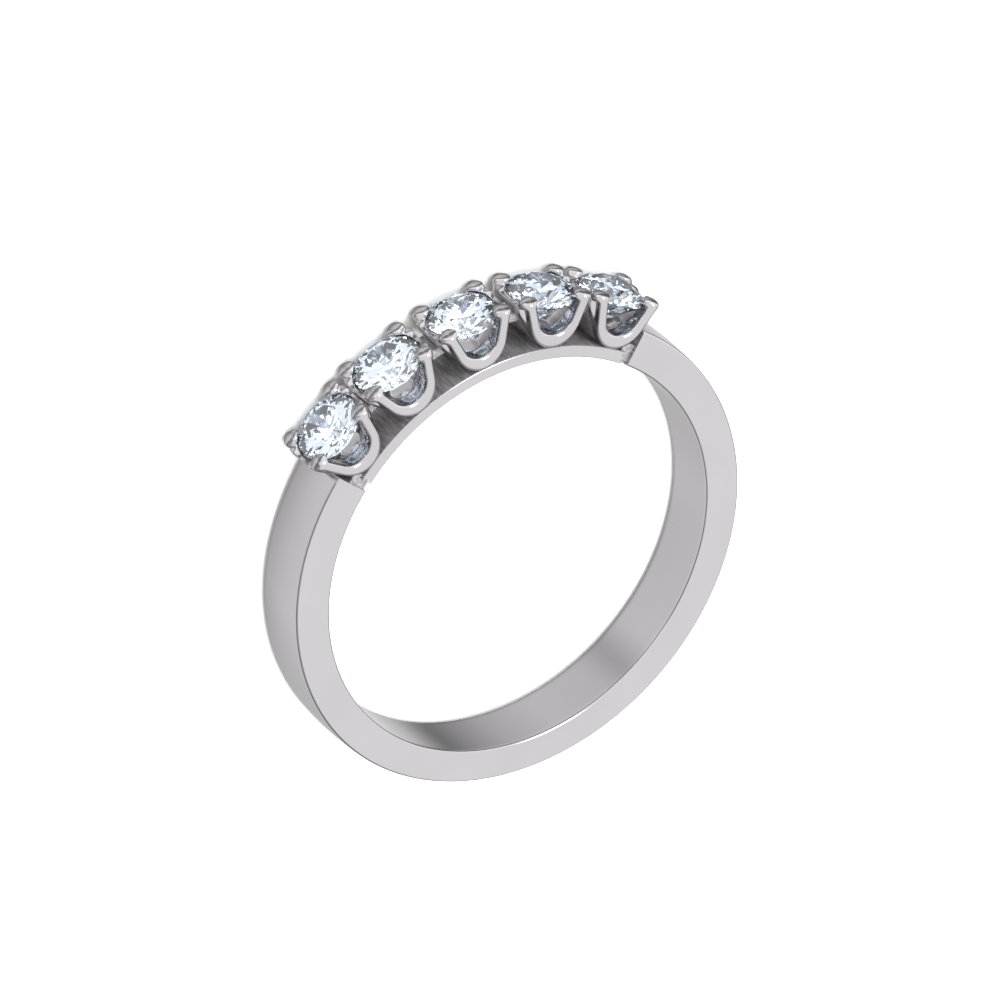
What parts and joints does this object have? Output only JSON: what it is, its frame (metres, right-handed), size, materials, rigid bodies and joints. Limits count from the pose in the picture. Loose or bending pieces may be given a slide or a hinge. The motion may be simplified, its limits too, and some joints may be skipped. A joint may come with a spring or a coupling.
{
  "type": "finger ring",
  "caption": "Finger ring with a row of round claw-set stones in U-cut crowns over a thin gallery rail, on a plain flat-sided band.",
  "frame": {"origin": "centre of the finger hole, midway across the band's width", "axes": "+Z along the finger hole's axis, up as the ring lies on its side; -Y from the hole's centre to the middle stone; +X along the row of stones"},
  "size_m": [0.0202, 0.0214, 0.0028],
  "materials": {
    "white_metal": "polished",
    "clear_stone": "faceted and polished"
  },
  "bodies": {
    "root": {"ring_mount": "white_metal", "stone_1": "clear_stone", "stone_2": "clear_stone", "stone_3": "clear_stone", "stone_4": "clear_stone", "stone_5": "clear_stone"}
  },
  "joints": []
}
